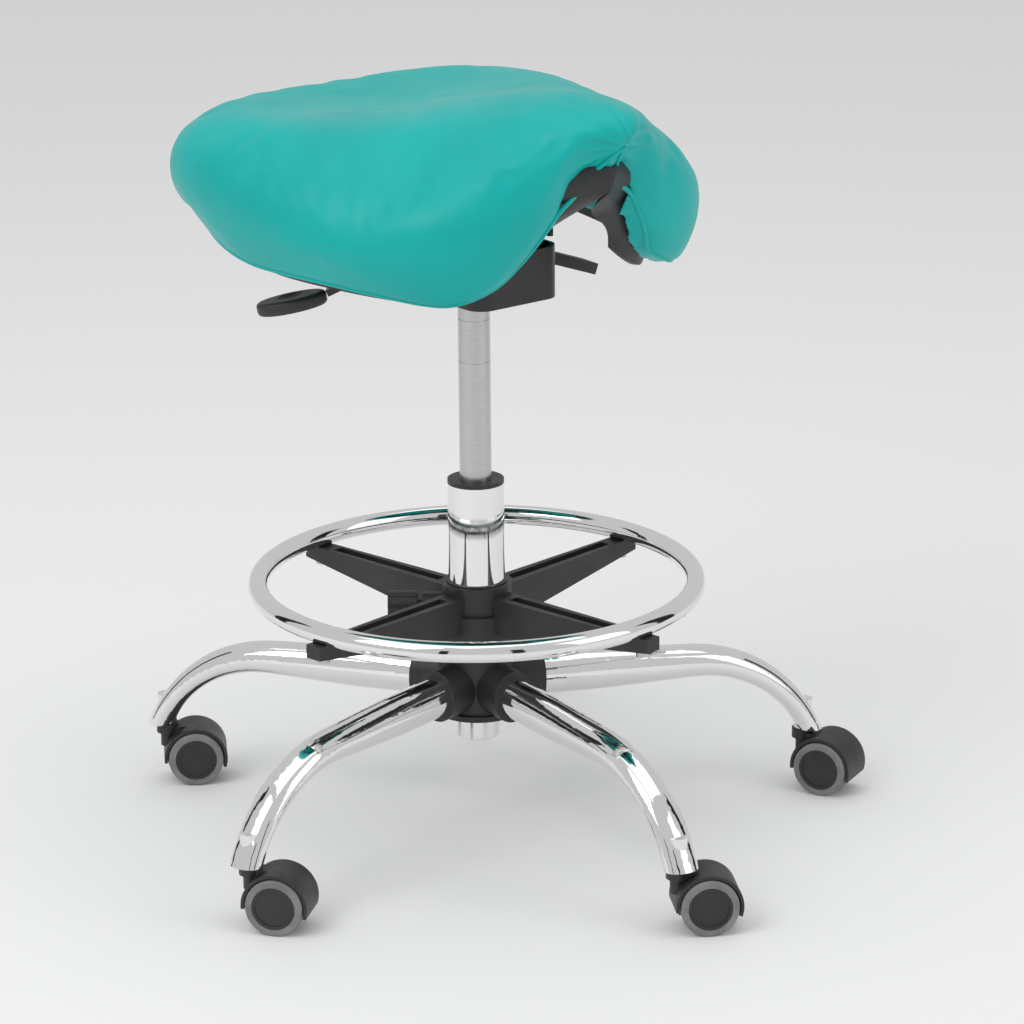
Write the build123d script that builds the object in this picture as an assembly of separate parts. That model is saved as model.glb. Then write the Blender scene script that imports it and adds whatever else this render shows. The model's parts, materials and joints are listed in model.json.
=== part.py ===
from build123d import *
import math
import os

# Dentist's saddle stool. Millimetres, +Z up. The origin is on the floor, under the column.
# The rider faces -Y, and the rider's left hand is on +X.

# ---- driving dimensions ----------------------------------------------------------------

# column and gas lift
COLUMN_D = 50.0
COLUMN_WALL = 2.0
COLUMN_BOTTOM = 106.0
COLUMN_TOP = 318.0
BUSH_TOP = 321.6
BUSH_BOTTOM = 262.0
FOOT_D = 38.5
FOOT_BOTTOM = 82.0
CYLINDER_D = 28.0
CYLINDER_WALL = 2.0
CYLINDER_BOTTOM = 244.0
CYLINDER_TOP = 527.0
ROD_D = 10.0
RUNNING = 0.05              # radial clearance of every running fit

# five-star base
LEG_COUNT = 5
LEG_FIRST_ANGLE = -22.8
CORE_D = 62.0
CORE_BOTTOM = 108.0
CORE_TOP = 166.0
LEG_ROOT_R = 28.0
LEG_ROOT_Z = 134.0
LEG_STRAIGHT_R = 198.0
LEG_STRAIGHT_Z = 131.5
LEG_BEND_R = 125.0
LEG_BEND_ANGLE = 72.0
LEG_ROOT_TALL = 37.0
LEG_END_TALL = 21.0
LEG_WIDE = 32.0
LEG_WALL = 2.0
LEG_CUT_Z = 56.5            # the open end is cut level

# twin-wheel casters
WHEEL_D = 50.0
RIM_D = 38.0
WHEEL_INNER = 7.2           # half gap between the two wheels
WHEEL_OUTER = 22.0
CASTER_R = 307.0            # swivel axis, out from the column
TRAIL = 25.0
STEM_D = 10.0
STEM_BOTTOM = 38.0
STEM_TOP = 78.0
NECK_TOP = 56.0
FENDER_R = 29.0
FENDER_INNER_R = 26.2
CASTER_ANGLES = [-65.0, 20.0, -33.0, -51.0, -31.0]

# foot ring
RING_R = 193.5
RING_TUBE_D = 18.0
RING_Z = 227.0
SPIDER_ARMS = 4
SPIDER_FIRST_ANGLE = 9.4
SPIDER_BOTTOM = 176.0
SPIDER_TOP = 227.0
SPIDER_HUB_D = 70.0
SPIDER_COLLAR_D = 62.0
SPIDER_BORE_D = 54.0
ARM_END_R = 206.0
KNOB_ANGLE = 141.4
KNOB_Z = 205.0

# seat mechanism
HOUSING_X = 92.0
HOUSING_Y = 132.0
HOUSING_BOTTOM = 492.0
HOUSING_TOP = 538.0
TILT_Y = -34.0
TILT_Z = 556.0
PIVOT_D = 10.0
BRACKET_TOP = 592.0
LEVER_Z = 533.0
SPRING_Y = 42.0
SPRING_PITCH = 10.0
SPRING_LENGTH = 80.0
SPRING_COIL_R = 11.0
SPRING_WIRE_R = 1.8
SPRING_SEAT_Z = 502.5
PADDLE_CENTRE = (-133.0, 85.0, 486.0)

# saddle sections, cantle to pommel: place of the centre line along Y, half width, how far the
# edge sweeps towards the middle, and the heights of spine, haunch, shoulder, flank and hem
SADDLE_SECTIONS = [
    (255, 185, -50, (600, 595, 580, 555, 540)),
    (260, 205, -65, (650, 645, 630, 590, 545)),
    (170, 225, -40, (615, 635, 650, 595, 520)),
    (45, 220, -25, (640, 650, 645, 585, 520)),
    (-90, 185, 0, (695, 660, 615, 555, 515)),
    (-230, 130, 60, (710, 655, 615, 555, 510)),
    (-230, 60, 62, (665, 640, 615, 570, 540)),
]
# where spine, haunch, shoulder, flank and hem lie across the half width and along the sweep
BODY_ACROSS = (0, 0.48, 0.88, 1, 0.86)
BODY_SWEEP = (0, 0.2, 0.75, 1, 1)
NOSE_ACROSS = (0, 0.05, 0.4, 1, 1.2)
NOSE_SWEEP = (0, 0.65, 1, 1, 1)
HEM_TUCK = 0.86
CUSHION_DEPTH = 38.0
SHELL_WALL = 6.0


def polar(radius, angle, z=0.0):
    a = math.radians(angle)
    return (radius * math.cos(a), radius * math.sin(a), z)


def upright(diameter, bottom, top):
    """Upright cylinder on the column's axis."""
    body = Cylinder(diameter / 2, top - bottom, align=(Align.CENTER, Align.CENTER, Align.MIN))
    return Pos(0, 0, bottom) * body


def sideways(diameter, length, axis="X"):
    """Cylinder centred on the origin and lying along X or Y."""
    turn = Rot(0, 90, 0) if axis == "X" else Rot(90, 0, 0)
    return turn * Cylinder(diameter / 2, length)


def block(x, y, bottom, top):
    return Pos(0, 0, bottom) * Box(x, y, top - bottom, align=(Align.CENTER, Align.CENTER, Align.MIN))


def rounded_block(x, y, bottom, top, radius):
    body = block(x, y, bottom, top)
    return fillet(body.edges().filter_by(Axis.Z), radius)


def save(shape, name):
    solids = shape.solids() if hasattr(shape, "solids") else shape
    part = solids[0] if len(solids) == 1 else Compound(children=list(solids))
    part.label = name
    export_step(part, f"parts/{name}.step")


def save_group(pieces, name):
    save(Compound(children=[solid for piece in pieces for solid in piece.solids()]), name)


# ---- five-star base --------------------------------------------------------------------

def leg_angles():
    return [LEG_FIRST_ANGLE + 360 / LEG_COUNT * n for n in range(LEG_COUNT)]


def leg_station(turned):
    """Centre (radius, height) and downward slope of the leg where its bend has turned so far."""
    a = math.radians(turned)
    return (LEG_STRAIGHT_R + LEG_BEND_R * math.sin(a), LEG_STRAIGHT_Z - LEG_BEND_R * (1 - math.cos(a)), turned)


def leg_straight(share):
    """Centre and slope at a share of the way along the leg's straight part."""
    radius = LEG_ROOT_R + (LEG_STRAIGHT_R - LEG_ROOT_R) * share
    return (radius, LEG_ROOT_Z + (LEG_STRAIGHT_Z - LEG_ROOT_Z) * share, 0.9 * (1 - share))


def leg_section(radius, z, slope, tall, wide):
    plane = Plane(origin=(radius, 0, z), x_dir=(0, 1, 0),
                  z_dir=(math.cos(math.radians(slope)), 0, -math.sin(math.radians(slope))))
    return plane * Ellipse(wide / 2, tall / 2)


def leg_solid(inset):
    """Bent, tapering oval leg, its surface moved in by inset."""
    straight = [leg_straight(n / 6) for n in range(6)]
    bend = [leg_station(LEG_BEND_ANGLE * n / 6) for n in range(7)]
    sections = []
    for radius, z, slope in straight + bend:
        share = min(1.0, max(0.0, (radius - 120.0) / 180.0))
        tall = LEG_ROOT_TALL + (LEG_END_TALL - LEG_ROOT_TALL) * share
        sections.append(leg_section(radius, z, slope, tall - 2 * inset, LEG_WIDE - 2 * inset))
    return loft(sections)


def leg_tube():
    tube = leg_solid(0.0) - leg_solid(LEG_WALL) - upright(CORE_D, 60, 200)
    return tube - Pos(CASTER_R, 0, 0) * (block(100, 100, 0, LEG_CUT_Z) + stem_socket())


def stem_socket():
    return upright(17.0, LEG_CUT_Z, 84.0)


def leg_plug(tube):
    """Plug in the leg's open end, with the upright socket for the caster's stem."""
    plug = leg_solid(LEG_WALL + 0.05) & Pos(CASTER_R, 0, 0) * block(100, 100, LEG_CUT_Z, 70)
    plug += Pos(CASTER_R, 0, 0) * stem_socket()
    plug = plug - tube - Pos(CASTER_R, 0, 0) * upright(STEM_D, 50.0, STEM_TOP)
    return plug.solids().sort_by(SortBy.VOLUME)[-1]


def make_base():
    core = upright(CORE_D, CORE_BOTTOM, CORE_TOP) - upright(COLUMN_D, CORE_BOTTOM, CORE_TOP)
    save(core, "hub_core")

    tube = leg_tube()
    plug = leg_plug(tube)
    full = leg_solid(0.0)
    cover = upright(CORE_D + 8, CORE_BOTTOM - 2, CORE_TOP + 4)
    cover += upright(CORE_D + 14, CORE_BOTTOM - 2, CORE_BOTTOM + 3)
    for angle in leg_angles():
        sleeve = Plane(origin=(20, 0, LEG_ROOT_Z), x_dir=(0, 1, 0), z_dir=(1, 0, 0)) * Ellipse(20.5, 23.5)
        cover += Rot(0, 0, angle) * extrude(sleeve, 38)
    cover -= upright(CORE_D, CORE_BOTTOM - 5, CORE_TOP)
    cover -= upright(COLUMN_D, CORE_TOP - 1, CORE_TOP + 10)
    for angle in leg_angles():
        cover -= Rot(0, 0, angle) * full
    save(cover, "hub_cover")

    save_group([Rot(0, 0, angle) * tube for angle in leg_angles()], "base_legs")
    save_group([Rot(0, 0, angle) * plug for angle in leg_angles()], "leg_end_plugs")
    stem = Pos(CASTER_R, 0, 0) * upright(STEM_D, STEM_BOTTOM, STEM_TOP)
    save_group([Rot(0, 0, angle) * stem for angle in leg_angles()], "caster_stems")


# ---- column and gas lift ---------------------------------------------------------------

def make_lift():
    inner = COLUMN_D - 2 * COLUMN_WALL
    tube = upright(COLUMN_D, COLUMN_BOTTOM, COLUMN_TOP) - upright(inner, COLUMN_BOTTOM, COLUMN_TOP)
    save(tube, "column_tube")

    bush = upright(inner, BUSH_BOTTOM, COLUMN_TOP) + upright(COLUMN_D, COLUMN_TOP, BUSH_TOP)
    save(bush - upright(CYLINDER_D + 2 * RUNNING, BUSH_BOTTOM, BUSH_TOP), "guide_bush")

    foot = upright(FOOT_D, FOOT_BOTTOM, COLUMN_BOTTOM) + upright(inner, COLUMN_BOTTOM, 114)
    foot = chamfer(foot.edges().sort_by(Axis.Z)[0], 1.5)
    save(foot - upright(ROD_D + 2 * RUNNING, 90, 114), "column_foot")
    save(upright(30, 114, 119) - upright(ROD_D + 2, 114, 119), "thrust_bearing")

    rod = upright(ROD_D, 92, 300) + upright(18, 119.3, 124)
    save(rod, "piston_rod")
    cylinder_inner = CYLINDER_D - 2 * CYLINDER_WALL
    piston = upright(cylinder_inner - 2 * RUNNING, 276, 292) - upright(ROD_D, 276, 292)
    save(piston, "piston")

    barrel = upright(CYLINDER_D, CYLINDER_BOTTOM, CYLINDER_TOP)
    barrel -= upright(cylinder_inner, CYLINDER_BOTTOM + 10, CYLINDER_TOP - 10)
    barrel -= upright(ROD_D + 2 * RUNNING, CYLINDER_BOTTOM, CYLINDER_BOTTOM + 10)
    barrel -= upright(8 + 2 * RUNNING, CYLINDER_TOP - 10, CYLINDER_TOP)
    for z in (429.0, 467.0):
        barrel -= upright(CYLINDER_D + 2, z, z + 0.8) - upright(CYLINDER_D - 0.8, z, z + 0.8)
    save(barrel, "gas_cylinder")
    save(upright(8, CYLINDER_TOP - 14, CYLINDER_TOP + 3), "release_button")


# ---- casters ---------------------------------------------------------------------------

def caster_hood():
    """Black hood: a fender over both wheels, a web between them and a neck round the stem."""
    width = 2 * (WHEEL_OUTER - 2.5)
    fender = sideways(2 * FENDER_R, width, "Y") - sideways(2 * FENDER_INNER_R, width, "Y")
    below = Pos(0, 0, -FENDER_R) * Box(80, 80, 2 * FENDER_R - 6)
    rear_cut = Rot(0, 14, 0) * Pos(0, 0, -FENDER_R) * Box(80, 80, 2 * FENDER_R - 4)
    fender -= rear_cut & below
    web = sideways(2 * FENDER_INNER_R + 0.5, 2 * WHEEL_INNER - 1.4, "Y")
    web -= Pos(0, 0, -20) * Box(80, 40, 20)
    neck = Pos(-TRAIL, 0, 47 - WHEEL_D / 2) * Cylinder(10, NECK_TOP - 47, align=(Align.CENTER, Align.CENTER, Align.MIN))
    spine = Pos(-TRAIL, 0, STEM_BOTTOM - 4 - WHEEL_D / 2) * Cylinder(
        WHEEL_INNER - 0.7, NECK_TOP - STEM_BOTTOM + 4, align=(Align.CENTER, Align.CENTER, Align.MIN))
    saddle = Pos(-TRAIL / 2, 0, 24.5) * Box(TRAIL, 15, 7)
    hood = fender + web + (neck + spine + saddle - sideways(2 * FENDER_INNER_R, 20, "Y")) + \
        (spine & Box(200, 2 * WHEEL_INNER - 1.4, 200))
    hood -= Pos(-TRAIL, 0, STEM_BOTTOM - 1 - WHEEL_D / 2) * Cylinder(
        STEM_D / 2 + RUNNING, 60, align=(Align.CENTER, Align.CENTER, Align.MIN))
    return hood - sideways(6.0, width, "Y")


def wheel_rim():
    rim = sideways(RIM_D, WHEEL_OUTER - WHEEL_INNER, "Y")
    rim -= Pos(0, 4, 0) * sideways(6 + 2 * RUNNING, WHEEL_OUTER - WHEEL_INNER, "Y")
    dish = Pos(0, -(WHEEL_OUTER - WHEEL_INNER) / 2 + 0.4, 0) * sideways(RIM_D - 6, 0.8, "Y")
    return rim - dish


def wheel_tyre():
    width = WHEEL_OUTER - WHEEL_INNER
    tyre = fillet(sideways(WHEEL_D, width, "Y").edges().filter_by(GeomType.CIRCLE), 2.0)
    return tyre - sideways(RIM_D, width, "Y")


def make_casters():
    hood = caster_hood()
    rim = wheel_rim()
    tyre = wheel_tyre()
    axle = sideways(6.0, 2 * (WHEEL_OUTER - 5), "Y")
    middle = (WHEEL_OUTER + WHEEL_INNER) / 2
    for n, leg in enumerate(leg_angles()):
        place = Pos(*polar(CASTER_R, leg)) * Rot(0, 0, CASTER_ANGLES[n]) * Pos(TRAIL, 0, WHEEL_D / 2)
        save(place * hood, f"caster_{n + 1}_hood")
        save(place * axle, f"caster_{n + 1}_axle")
        right = place * Pos(0, -middle, 0)
        left = place * Rot(0, 0, 180) * Pos(0, -middle, 0)
        save_wheel(right, rim, tyre, f"caster_{n + 1}_wheel_a")
        save_wheel(left, rim, tyre, f"caster_{n + 1}_wheel_b")


def save_wheel(place, rim, tyre, name):
    save(place * rim, name)
    save(place * tyre, name.replace("wheel", "tyre"))


# ---- foot ring -------------------------------------------------------------------------

def spider_angles():
    return [SPIDER_FIRST_ANGLE + 360 / SPIDER_ARMS * n for n in range(SPIDER_ARMS)]


def spider_arm():
    """Tapering arm with a channel along its top, ending in a saddle under the ring."""
    side = Plane.XZ * Polygon((24, 186), (24, 219), (ARM_END_R, 219), (ARM_END_R, 207), (60, 187), align=None)
    arm = extrude(side, 12, both=True)
    taper = Plane.XY * Polygon((20, -12), (20, 12), (ARM_END_R, 8), (ARM_END_R, -8), align=None)
    arm = arm & Pos(0, 0, 150) * extrude(taper, 100, dir=(0, 0, 1))
    groove = Pos(108, 0, 222) * Box(130, 10, 14)
    return arm - groove


def make_foot_ring():
    ring = Pos(0, 0, RING_Z) * Torus(RING_R, RING_TUBE_D / 2)
    bore = Pos(0, 0, RING_Z) * Torus(RING_R, RING_TUBE_D / 2 - 1.5)
    spider = upright(SPIDER_HUB_D, SPIDER_BOTTOM, 202) + upright(SPIDER_COLLAR_D, SPIDER_BOTTOM, SPIDER_TOP)
    arm = spider_arm()
    for angle in spider_angles():
        spider += Rot(0, 0, angle) * arm
    boss = Rot(0, 0, KNOB_ANGLE) * Pos(37, 0, KNOB_Z) * sideways(22, 22)
    spider += boss
    spider -= ring
    save(ring - bore, "foot_ring")
    screw = Pos(RING_R, 0, 0) * (upright(6, 205, 222) + upright(11, 201.5, 205)) - ring
    spider -= upright(SPIDER_BORE_D, SPIDER_BOTTOM, SPIDER_TOP)
    knob_line = Rot(0, 0, KNOB_ANGLE)
    spider -= knob_line * Pos(40, 0, KNOB_Z) * sideways(8 + 2 * RUNNING, 40)
    for angle in spider_angles():
        spider -= Rot(0, 0, angle) * Pos(RING_R, 0, 0) * upright(6, 200, 222)
        spider -= Rot(0, 0, angle) * Pos(RING_R, 0, 0) * upright(12, 190, 205)
    save(spider, "ring_spider")
    save_group([Rot(0, 0, angle) * screw for angle in spider_angles()], "ring_screws")

    bush = upright(SPIDER_BORE_D - 2 * RUNNING, SPIDER_BOTTOM - 2, SPIDER_TOP + 1.5)
    save(bush - upright(COLUMN_D + 2 * RUNNING, SPIDER_BOTTOM - 2, SPIDER_TOP + 1.5), "ring_bush")

    knob = sideways(24, 26)
    for n in range(6):
        notch = Pos(0, *polar(14, 60 * n)[:2]) * sideways(7, 26)
        knob -= notch
    stud = Pos(-22, 0, 0) * sideways(8, 32)
    save(knob_line * Pos(66, 0, KNOB_Z) * (knob + stud), "clamp_knob")


# ---- seat mechanism --------------------------------------------------------------------

def lever_bar(points, width, thick):
    """Flat bar through points, level across its width."""
    bar = None
    for start, end in zip(points[:-1], points[1:]):
        run = Vector(*end) - Vector(*start)
        frame = Plane(origin=Vector(*start), x_dir=Vector(-run.Y, run.X, 0).normalized(), z_dir=run.normalized())
        piece = frame * Pos(0, 0, run.length / 2) * Box(width, thick, run.length + thick * 0.6)
        bar = piece if bar is None else bar + piece
    return bar


def make_mechanism():
    housing = rounded_block(HOUSING_X, HOUSING_Y, HOUSING_BOTTOM, HOUSING_TOP, 16)
    housing -= rounded_block(HOUSING_X - 8, HOUSING_Y - 8, HOUSING_BOTTOM + 5, HOUSING_TOP + 1, 12)
    housing += upright(44, HOUSING_BOTTOM, 522)
    housing += Pos(0, SPRING_Y, 0) * upright(30, HOUSING_BOTTOM + 2, 500)
    cheek = Pos(0, TILT_Y, 0) * rounded_block(8, 26, HOUSING_BOTTOM + 2, TILT_Z + 10, 3)
    housing += Pos(-34, 0, 0) * cheek
    housing += Pos(34, 0, 0) * cheek
    housing -= upright(CYLINDER_D, HOUSING_BOTTOM - 5, 540)
    housing -= Pos(0, TILT_Y, TILT_Z) * sideways(PIVOT_D, 120)
    notch_right = Pos(-HOUSING_X / 2, 6, LEVER_Z + 8) * Box(20, 18, 40)
    notch_left = Pos(HOUSING_X / 2, -2, LEVER_Z + 6) * Box(20, 28, 44)
    housing = housing - notch_right - notch_left
    for x, y in ((-HOUSING_X / 2 + 2, 6), (HOUSING_X / 2 - 2, -2)):
        housing -= Pos(x, y, LEVER_Z) * sideways(4, 44, "Y")
    save(housing, "mechanism_housing")

    save(Pos(0, TILT_Y, TILT_Z) * sideways(PIVOT_D, 92), "tilt_pivot")

    plate = rounded_block(118, 168, BRACKET_TOP - 5, BRACKET_TOP, 14)
    cheek = Pos(0, TILT_Y, 0) * rounded_block(5, 44, TILT_Z - 12, BRACKET_TOP - 2, 2)
    bracket = plate + Pos(-42.5, 0, 0) * cheek + Pos(42.5, 0, 0) * cheek
    bracket -= Pos(0, TILT_Y, TILT_Z) * sideways(PIVOT_D + 2 * RUNNING, 120)
    for x, y in bolt_places():
        bracket -= Pos(x, y, 0) * upright(8, BRACKET_TOP - 10, BRACKET_TOP + 5)
    save(bracket, "tilt_bracket")
    save_group([Pos(x, y, 0) * seat_bolt() for x, y in bolt_places()], "seat_bolts")

    helix = Helix(pitch=SPRING_PITCH, height=SPRING_LENGTH, radius=SPRING_COIL_R)
    wire = Plane(origin=helix @ 0, z_dir=helix % 0) * Circle(SPRING_WIRE_R)
    coil = sweep(wire, path=helix, is_frenet=True)
    save(Pos(0, SPRING_Y, SPRING_SEAT_Z) * coil, "tilt_spring")

    inner = LEVER_Z + 4
    right_path = [(6, 3, inner), (-22, 4, inner), (-44, 6, LEVER_Z), (-80, 38, 515), (-108, 64, 496)]
    rod = lever_bar(right_path, 9, 6) - Pos(-44, 6, LEVER_Z) * sideways(4 + 2 * RUNNING, 30, "Y")
    paddle = paddle_form()
    save(rod - paddle, "height_lever")
    save(paddle, "height_paddle")
    pins = [Pos(-44, 6, LEVER_Z) * sideways(4, 28, "Y"), Pos(44, -2, LEVER_Z) * sideways(4, 38, "Y")]
    save_group(pins, "lever_pins")

    left_path = [(30, 0, LEVER_Z + 3), (44, -2, LEVER_Z), (60, -4, LEVER_Z - 12), (84, -7, 508)]
    arm = lever_bar(left_path, 16, 6) - Pos(44, -2, LEVER_Z) * sideways(4 + 2 * RUNNING, 40, "Y")
    save(arm, "tilt_lever")
    handle = lever_bar([(66, -5, 515), (119, -9, 496)], 24, 10)
    save(handle - arm, "tilt_handle")


def paddle_form():
    """Oval thumb paddle, dished on top."""
    oval = Pos(*PADDLE_CENTRE) * Rot(0, 0, 140) * Rot(0, 12, 0)
    body = oval * extrude(Ellipse(31, 18), 6, both=True)
    body = fillet(body.edges(), 4)
    dish = oval * Pos(0, 0, 44) * Sphere(40)
    return body - dish


def bolt_places():
    return [(x, y) for x in (-46, 46) for y in (-66, 66)]


def seat_bolt():
    return upright(8, BRACKET_TOP - 5, BRACKET_TOP + 10) + upright(14, BRACKET_TOP - 11, BRACKET_TOP - 5)


# ---- saddle ----------------------------------------------------------------------------

def guide_lines():
    """Spine, haunch, shoulder, flank and hem of the +X half, each with a point per section."""
    lines = []
    for n in range(len(BODY_ACROSS)):
        line = []
        for section in SADDLE_SECTIONS:
            y, half_width, edge_sweep, heights = section
            nose = section is SADDLE_SECTIONS[-1]
            across = NOSE_ACROSS[n] if nose else BODY_ACROSS[n]
            sweep = NOSE_SWEEP[n] if nose else BODY_SWEEP[n]
            along = y + edge_sweep * sweep
            if n == len(BODY_ACROSS) - 1:
                along *= HEM_TUCK
            line.append((half_width * across, along, heights[n]))
        lines.append(line)
    return lines


def saddle_net(depth):
    """Guide lines moved inward: down at the spine, inward at the flanks and ends."""
    shifts = [(0, -depth), (0, -depth), (-0.75 * depth, -0.8 * depth), (-0.9 * depth, 0), (-0.55 * depth, 3)]
    ends = [0.8, 0.8, 0.4, 0, -0.2, -0.7, -0.7]
    net = []
    for line, (dx, dz) in zip(guide_lines(), shifts):
        row = []
        for (x, y, z), end in zip(line, ends):
            row.append((x + dx * min(1, x / 120), y - end * depth, z + dz))
        net.append(row)
    return net


def saddle_face(depth):
    """Smooth surface over both halves of the guide lines, at a depth below the cover."""
    net = saddle_net(depth)
    mirrored = [[(-x, y, z) for x, y, z in line] for line in net[:0:-1]]
    control = mirrored + net
    rows = 25
    columns = 33
    points = [[blend(control, c / (columns - 1), r / (rows - 1)) for r in range(rows)] for c in range(columns)]
    return Face.make_surface_from_array_of_points(points, tol=0.05)


def weights(count, t):
    """Clamped cubic B-spline weights of count control points at t."""
    knots = [0.0] * 3 + [n / (count - 3) for n in range(count - 2)] + [1.0] * 3
    t = min(t, 1 - 1e-9)
    base = [1.0 if knots[i] <= t < knots[i + 1] else 0.0 for i in range(len(knots) - 1)]
    for degree in (1, 2, 3):
        for i in range(len(knots) - 1 - degree):
            left = knots[i + degree] - knots[i]
            right = knots[i + degree + 1] - knots[i + 1]
            a = (t - knots[i]) / left * base[i] if left else 0.0
            b = (knots[i + degree + 1] - t) / right * base[i + 1] if right else 0.0
            base[i] = a + b
    return base[:count]


def blend(control, across, along):
    wide = weights(len(control), across)
    long = weights(len(control[0]), along)
    total = Vector(0, 0, 0)
    for w, line in zip(wide, control):
        for v, point in zip(long, line):
            if w * v:
                total += Vector(*point) * (w * v)
    return total


def skin(outer_depth, inner_depth):
    """Closed solid between two saddle surfaces."""
    outer = saddle_face(outer_depth)
    inner = saddle_face(inner_depth)
    outer_edges = outer.edges()
    faces = [outer, inner]
    for edge in outer_edges:
        near = min(inner.edges(), key=lambda e: (e @ 0.5 - edge @ 0.5).length)
        faces.append(Face.make_surface_from_curves(edge, near))
    return Solid(Shell(faces))


def make_saddle():
    cushion = skin(0.0, CUSHION_DEPTH)
    save(cushion, "seat_cushion")
    shell = skin(CUSHION_DEPTH + 0.3, CUSHION_DEPTH + SHELL_WALL)
    boss = Pos(0, -47, 0) * block(118, 74, BRACKET_TOP, 652) + Pos(0, 37, 0) * block(118, 94, BRACKET_TOP, 630)
    shell += boss - cushion
    for x, y in bolt_places():
        shell -= Pos(x, y, 0) * seat_bolt()
    save(shell, "seat_shell")


os.makedirs("parts", exist_ok=True)
make_base()
make_lift()
make_casters()
make_foot_ring()
make_mechanism()
make_saddle()
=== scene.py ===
import json
import math

import bmesh
import bpy
from mathutils import Matrix, Vector
from mathutils.bvhtree import BVHTree
from mathutils.noise import noise


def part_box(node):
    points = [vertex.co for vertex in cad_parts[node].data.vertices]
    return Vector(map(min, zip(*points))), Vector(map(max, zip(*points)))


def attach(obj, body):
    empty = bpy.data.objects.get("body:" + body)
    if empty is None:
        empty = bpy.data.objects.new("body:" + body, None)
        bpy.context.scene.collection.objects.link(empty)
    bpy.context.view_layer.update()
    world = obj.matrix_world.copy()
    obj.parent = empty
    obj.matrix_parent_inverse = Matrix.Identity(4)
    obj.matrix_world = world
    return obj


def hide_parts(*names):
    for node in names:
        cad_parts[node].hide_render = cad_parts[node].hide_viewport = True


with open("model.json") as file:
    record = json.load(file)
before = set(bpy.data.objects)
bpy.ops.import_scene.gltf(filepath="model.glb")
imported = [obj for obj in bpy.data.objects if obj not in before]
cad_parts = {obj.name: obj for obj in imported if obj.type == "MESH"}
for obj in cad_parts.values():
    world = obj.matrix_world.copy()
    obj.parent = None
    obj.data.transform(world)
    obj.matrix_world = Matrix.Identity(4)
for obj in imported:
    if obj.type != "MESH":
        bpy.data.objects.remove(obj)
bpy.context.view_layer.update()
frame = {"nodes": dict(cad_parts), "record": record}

# camera: distance and height from the column axis, then its aim
CAMERA_DISTANCE = 3.692
CAMERA_HEIGHT = 1.456
CAMERA_HEADING = math.radians(-37.6)
CAMERA_PITCH = math.radians(17.53)
CAMERA_YAW = math.radians(0.492)
CAMERA_ROLL = math.radians(-0.483)
CAMERA_LENS = 154.4
SENSOR = 36.0

# saddle upholstery
VOXEL = 0.005
START_SHRINK = 0.001
SWELL_LIMIT = 0.007
CLOTH_PRESSURE = 4.0
CLOTH_FRAMES = 20
TAUT_PASSES = 7
PIPING_RADIUS = 0.0022
SEAM_DEPTH = 0.0030
SEAM_WIDTH = 0.0035
PUCKER_DEPTH = 0.0011
PUCKER_REACH = 0.055


# ---------------------------------------------------------------- materials

class Nodes:
    """A new node material with a Principled shader, and short ways to add to it."""

    def __init__(self, name, color, roughness, metallic=0.0):
        self.material = bpy.data.materials.new(name)
        self.material.use_nodes = True
        self.tree = self.material.node_tree
        self.shader = self.tree.nodes["Principled BSDF"]
        self.shader.inputs["Base Color"].default_value = (*color, 1.0)
        self.shader.inputs["Roughness"].default_value = roughness
        self.shader.inputs["Metallic"].default_value = metallic
        self.coords = self.tree.nodes.new("ShaderNodeTexCoord").outputs["Object"]
        self.bump = None

    def link(self, a, b):
        self.tree.links.new(a, b)

    def stretched(self, scale):
        node = self.tree.nodes.new("ShaderNodeMapping")
        node.inputs["Scale"].default_value = scale
        self.link(self.coords, node.inputs["Vector"])
        return node.outputs["Vector"]

    def noise(self, scale, detail=4.0, vector=None):
        node = self.tree.nodes.new("ShaderNodeTexNoise")
        node.inputs["Scale"].default_value = scale
        node.inputs["Detail"].default_value = detail
        self.link(vector or self.coords, node.inputs["Vector"])
        return node.outputs["Fac"]

    def cells(self, scale):
        node = self.tree.nodes.new("ShaderNodeTexVoronoi")
        node.feature = "DISTANCE_TO_EDGE"
        node.inputs["Scale"].default_value = scale
        self.link(self.coords, node.inputs["Vector"])
        return node.outputs["Distance"]

    def spread(self, value, low, high, source=(0.3, 0.7)):
        node = self.tree.nodes.new("ShaderNodeMapRange")
        node.inputs["From Min"].default_value = source[0]
        node.inputs["From Max"].default_value = source[1]
        node.inputs["To Min"].default_value = low
        node.inputs["To Max"].default_value = high
        self.link(value, node.inputs["Value"])
        return node.outputs["Result"]

    def tint(self, value, dark, light):
        node = self.tree.nodes.new("ShaderNodeValToRGB")
        node.color_ramp.elements[0].position = 0.3
        node.color_ramp.elements[0].color = (*dark, 1.0)
        node.color_ramp.elements[1].position = 0.7
        node.color_ramp.elements[1].color = (*light, 1.0)
        self.link(value, node.inputs["Fac"])
        self.link(node.outputs["Color"], self.shader.inputs["Base Color"])

    def rough(self, value, low, high):
        self.link(self.spread(value, low, high), self.shader.inputs["Roughness"])

    def raised(self, value, distance, strength=1.0):
        node = self.tree.nodes.new("ShaderNodeBump")
        node.inputs["Distance"].default_value = distance
        node.inputs["Strength"].default_value = strength
        self.link(value, node.inputs["Height"])
        if self.bump:
            self.link(self.bump, node.inputs["Normal"])
        self.bump = node.outputs["Normal"]
        self.link(self.bump, self.shader.inputs["Normal"])


def vinyl():
    """Smooth upholstery vinyl with a fine pebbled grain and slow colour drift."""
    m = Nodes("teal_vinyl", (0.0, 0.43, 0.40), 0.46)
    m.tint(m.noise(9.0, 3.0), (0.0, 0.400, 0.375), (0.0, 0.455, 0.425))
    m.rough(m.noise(26.0), 0.36, 0.48)
    m.raised(m.cells(950.0), 0.00010, 0.35)
    m.raised(m.noise(2600.0, 2.0), 0.00005, 0.25)
    m.shader.inputs["Specular IOR Level"].default_value = 0.30
    return m.material


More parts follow.
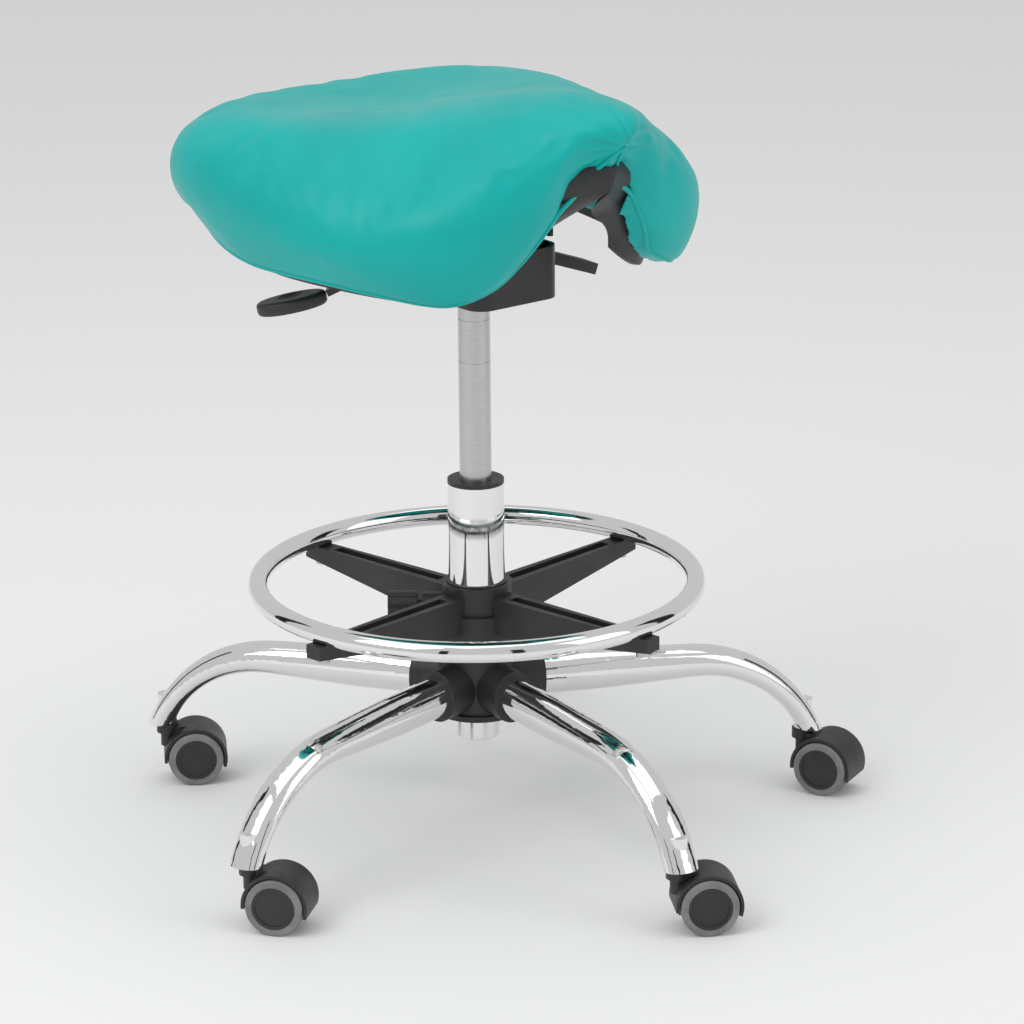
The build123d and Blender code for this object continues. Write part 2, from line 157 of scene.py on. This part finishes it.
def chrome():
    """Bright plating with a faint haze and hairline polish marks."""
    m = Nodes("bright_chrome", (0.83, 0.83, 0.82), 0.05, 1.0)
    m.rough(m.noise(38.0, 5.0), 0.03, 0.085)
    m.raised(m.noise(900.0, 2.0, m.stretched((1, 1, 0.04))), 0.00001, 0.12)
    return m.material


def steel():
    """Satin ground steel, its grinding lines round the axis."""
    m = Nodes("satin_steel", (0.56, 0.56, 0.55), 0.27, 1.0)
    lines = m.noise(60.0, 6.0, m.stretched((1, 1, 60)))
    m.tint(lines, (0.49, 0.49, 0.48), (0.61, 0.61, 0.60))
    m.rough(lines, 0.22, 0.36)
    m.raised(lines, 0.00002, 0.25)
    return m.material


def black_plastic():
    """Moulded plastic with a spark-eroded texture, a little greyer where handled."""
    m = Nodes("black_plastic", (0.02, 0.02, 0.021), 0.45)
    m.tint(m.noise(14.0, 5.0), (0.014, 0.014, 0.015), (0.032, 0.032, 0.034))
    m.rough(m.noise(30.0), 0.38, 0.55)
    m.raised(m.noise(1500.0, 3.0), 0.00010, 0.40)
    return m.material


def black_metal():
    """Powder coat with light orange peel."""
    m = Nodes("powder_coat", (0.016, 0.016, 0.017), 0.34)
    m.tint(m.noise(20.0), (0.011, 0.011, 0.012), (0.024, 0.024, 0.026))
    m.rough(m.noise(45.0), 0.28, 0.42)
    m.raised(m.noise(520.0, 2.0), 0.00012, 0.35)
    return m.material


def tread():
    """Soft grey tread, scuffed where it rolls."""
    m = Nodes("grey_tread", (0.20, 0.20, 0.19), 0.6)
    m.tint(m.noise(55.0, 6.0), (0.15, 0.15, 0.145), (0.26, 0.26, 0.25))
    m.rough(m.noise(80.0), 0.50, 0.72)
    m.raised(m.noise(700.0, 3.0), 0.00012, 0.4)
    return m.material


def acetal():
    m = Nodes("acetal", (0.75, 0.74, 0.70), 0.4)
    m.tint(m.noise(30.0), (0.70, 0.69, 0.65), (0.80, 0.79, 0.75))
    m.raised(m.noise(900.0), 0.00005, 0.2)
    return m.material


MATERIALS = {
    "vinyl": vinyl(),
    "chrome": chrome(),
    "steel": steel(),
    "black_plastic": black_plastic(),
    "black_metal": black_metal(),
    "grey_tread": tread(),
    "white_plastic": acetal(),
}


def dress_frame():
    for part in frame["record"]["subparts"]:
        node = frame["nodes"][part["node"]]
        for place in node.material_slots:
            place.material = MATERIALS[part["material_slot"]]


# ---------------------------------------------------------------- saddle

def welded_copy(name, source):
    """A new object holding a closed copy of a CAD node's mesh."""
    mesh = source.data.copy()
    work = bmesh.new()
    work.from_mesh(mesh)
    bmesh.ops.remove_doubles(work, verts=work.verts, dist=1e-5)
    work.to_mesh(mesh)
    work.free()
    piece = bpy.data.objects.new(name, mesh)
    bpy.context.scene.collection.objects.link(piece)
    return piece


def apply_modifiers(piece):
    bpy.context.view_layer.update()
    graph = bpy.context.evaluated_depsgraph_get()
    mesh = bpy.data.meshes.new_from_object(piece.evaluated_get(graph))
    piece.modifiers.clear()
    piece.data = mesh


def remesh(piece):
    step = piece.modifiers.new("remesh", "REMESH")
    step.mode = "VOXEL"
    step.voxel_size = VOXEL
    apply_modifiers(piece)
    step = piece.modifiers.new("smooth", "SMOOTH")
    step.factor = 0.5
    step.iterations = 6
    apply_modifiers(piece)


def inflate(piece):
    """Presses the cover outwards as foam does, and holds each point near where it began."""
    mesh = piece.data
    normals = [v.normal.copy() for v in mesh.vertices]
    start = [v.co - n * START_SHRINK for v, n in zip(mesh.vertices, normals)]
    for vertex, place in zip(mesh.vertices, start):
        vertex.co = place
    cloth = piece.modifiers.new("cloth", "CLOTH")
    cloth.settings.use_pressure = True
    cloth.settings.uniform_pressure_force = CLOTH_PRESSURE
    cloth.settings.effector_weights.gravity = 0.0
    cloth.settings.quality = 5
    cloth.point_cache.frame_start = 1
    cloth.point_cache.frame_end = CLOTH_FRAMES
    for number in range(1, CLOTH_FRAMES + 1):
        bpy.context.scene.frame_set(number)
    graph = bpy.context.evaluated_depsgraph_get()
    settled = [v.co.copy() for v in piece.evaluated_get(graph).data.vertices]
    piece.modifiers.clear()
    for vertex, first, last in zip(piece.data.vertices, start, settled):
        move = last - first
        if move.length > SWELL_LIMIT:
            move *= SWELL_LIMIT / move.length
        vertex.co = first + move
    taut = piece.modifiers.new("taut", "SMOOTH")
    taut.factor = 0.5
    taut.iterations = TAUT_PASSES
    apply_modifiers(piece)


def sew(piece):
    """The closing seam down the middle of the pommel, with gathers pulled towards it."""
    low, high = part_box("seat_cushion")
    nose = Vector((0.0, low.y + 0.012, high.z - 0.030))
    normals = [v.normal.copy() for v in piece.data.vertices]
    for vertex, normal in zip(piece.data.vertices, normals):
        away = vertex.co - nose
        if away.length > 3 * PUCKER_REACH:
            continue
        ahead = max(0.0, min(1.0, (nose.y + 0.030 - vertex.co.y) / 0.025))
        seam = math.exp(-((vertex.co.x / SEAM_WIDTH) ** 2))
        angle = math.atan2(away.z, abs(away.x) + 0.004)
        fold = math.sin(15.0 * angle + 2.0 * noise(vertex.co * 18.0))
        near = math.exp(-((away.length / PUCKER_REACH) ** 2))
        off_seam = 1.0 - math.exp(-((vertex.co.x / 0.010) ** 2))
        drop = SEAM_DEPTH * seam * ahead + PUCKER_DEPTH * fold * near * off_seam
        vertex.co -= normal * drop


def cover_edge():
    """The closed edge line of the cover, as points in order: the border of the CAD cushion's upper face."""
    work = bmesh.new()
    work.from_mesh(frame["nodes"]["seat_cushion"].data)
    groups = []
    seen = set()
    for face in work.faces:
        if face.index in seen:
            continue
        group, queue = [], [face]
        seen.add(face.index)
        while queue:
            one = queue.pop()
            group.append(one)
            for edge in one.edges:
                for other in edge.link_faces:
                    if other.index not in seen:
                        seen.add(other.index)
                        queue.append(other)
        groups.append(group)
    cover = max(groups, key=lambda g: sum(f.calc_area() for f in g))
    border = {e for f in cover for e in f.edges if len(e.link_faces) == 1}
    edge = next(iter(sorted(border, key=lambda e: e.index)))
    first, here = edge.verts
    line = [first.co.copy(), here.co.copy()]
    border.discard(edge)
    while True:
        step = [e for e in here.link_edges if e in border]
        if not step:
            break
        border.discard(step[0])
        here = step[0].other_vert(here)
        line.append(here.co.copy())
    work.free()
    return line


def even(line, gap):
    """The same line with points at an even gap."""
    kept = [line[0]]
    for point in line[1:]:
        if (point - kept[-1]).length >= gap:
            kept.append(point)
    return kept


def seated(line, piece):
    """The line moved onto the piece's surface."""
    corners = [v.co for v in piece.data.vertices]
    skin = BVHTree.FromPolygons(corners, [p.vertices for p in piece.data.polygons])
    return [skin.find_nearest(point)[0] for point in line]


def tube(name, line, radius, material, closed=True):
    curve = bpy.data.curves.new(name, "CURVE")
    curve.dimensions = "3D"
    curve.bevel_depth = radius
    curve.bevel_resolution = 4
    spline = curve.splines.new("NURBS")
    spline.points.add(len(line) - 1)
    for place, point in zip(spline.points, line):
        place.co = (*point, 1.0)
    spline.use_cyclic_u = closed
    spline.order_u = 3
    piece = bpy.data.objects.new(name, curve)
    bpy.context.scene.collection.objects.link(piece)
    curve.materials.append(material)
    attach(piece, "saddle")
    return piece


def upholster():
    cushion = welded_copy("saddle_cover", frame["nodes"]["seat_cushion"])
    remesh(cushion)
    inflate(cushion)
    soft = cushion.modifiers.new("soft", "SUBSURF")
    soft.levels = soft.render_levels = 1
    apply_modifiers(cushion)
    sew(cushion)
    for polygon in cushion.data.polygons:
        polygon.use_smooth = True
    cushion.data.materials.clear()
    cushion.data.materials.append(MATERIALS["vinyl"])
    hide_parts("seat_cushion")
    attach(cushion, "saddle")
    line = seated(even(cover_edge(), 0.012), cushion)
    tube("hem_piping", line, PIPING_RADIUS, MATERIALS["vinyl"])


# ---------------------------------------------------------------- studio

def plain(name, color, roughness=0.9):
    m = Nodes(name, color, roughness)
    m.rough(m.noise(3.0), roughness - 0.05, roughness)
    return m.material


def panel(name, width, height, place, aim, material):
    mesh = bpy.data.meshes.new(name)
    w, h = width / 2, height / 2
    mesh.from_pydata([(-w, -h, 0), (w, -h, 0), (w, h, 0), (-w, h, 0)], [], [(0, 1, 2, 3)])
    mesh.materials.append(material)
    board = bpy.data.objects.new(name, mesh)
    bpy.context.scene.collection.objects.link(board)
    board.location = place
    board.rotation_euler = (Vector(aim) - Vector(place)).to_track_quat("Z", "Y").to_euler()
    return board


def lamp(name, place, aim, size, power):
    data = bpy.data.lights.new(name, "AREA")
    data.shape = "RECTANGLE"
    data.size, data.size_y = size
    data.energy = power
    light = bpy.data.objects.new(name, data)
    bpy.context.scene.collection.objects.link(light)
    light.location = place
    light.rotation_euler = (Vector(aim) - Vector(place)).to_track_quat("-Z", "Y").to_euler()


def turned(x, y, z):
    """A place given as seen from the camera: x to its right, y away from it."""
    c, s = math.cos(CAMERA_HEADING), math.sin(CAMERA_HEADING)
    return (x * c - y * s, x * s + y * c, z)


def studio():
    floor = panel("studio_floor", 24.0, 24.0, (0, 0, 0), (0, 0, 1), plain("studio_paper", (0.93, 0.93, 0.93)))
    floor.location.z = 0.0
    world = bpy.data.worlds.new("studio")
    bpy.context.scene.world = world
    world.use_nodes = True
    sky = world.node_tree.nodes["Background"]
    sky.inputs["Color"].default_value = (0.93, 0.93, 0.94, 1.0)
    sky.inputs["Strength"].default_value = 0.68
    middle = (0, 0, 0.4)
    lamp("key", turned(-1.8, -1.6, 2.6), middle, (1.8, 1.8), 27)
    lamp("fill", turned(2.4, -1.2, 1.6), middle, (1.6, 2.2), 9)
    lamp("top", (0, 0, 3.0), middle, (2.6, 2.6), 15)
    dark = plain("studio_flag", (0.01, 0.01, 0.01))
    for number, (x, y, w) in enumerate([(-1.9, 0.6, 0.35), (2.0, 0.4, 0.5), (0.9, -2.6, 0.30), (-0.8, -2.8, 0.22)]):
        flag = panel(f"flag_{number}", w, 1.8, turned(x, y, 0.8), (0, 0, 0.5), dark)
        flag.visible_camera = False
        flag.visible_shadow = False
        flag.visible_diffuse = False


def camera():
    data = bpy.data.cameras.new("camera")
    data.lens = CAMERA_LENS
    data.sensor_width = SENSOR
    eye = bpy.data.objects.new("camera", data)
    bpy.context.scene.collection.objects.link(eye)
    level = math.cos(CAMERA_PITCH)
    ahead = Vector((math.sin(CAMERA_YAW) * level, math.cos(CAMERA_YAW) * level, -math.sin(CAMERA_PITCH)))
    right = Vector((math.cos(CAMERA_YAW), -math.sin(CAMERA_YAW), 0.0))
    up = right.cross(ahead)
    c, s = math.cos(CAMERA_ROLL), math.sin(CAMERA_ROLL)
    right, up = c * right + s * up, c * up - s * right
    aim = Matrix((right, up, -ahead)).transposed().to_4x4()
    turn = Matrix.Rotation(CAMERA_HEADING, 4, "Z")
    eye.matrix_world = turn @ Matrix.Translation((0, -CAMERA_DISTANCE, CAMERA_HEIGHT)) @ aim
    bpy.context.scene.camera = eye


bpy.context.scene.view_settings.view_transform = "Standard"
camera()
dress_frame()
upholster()
studio()
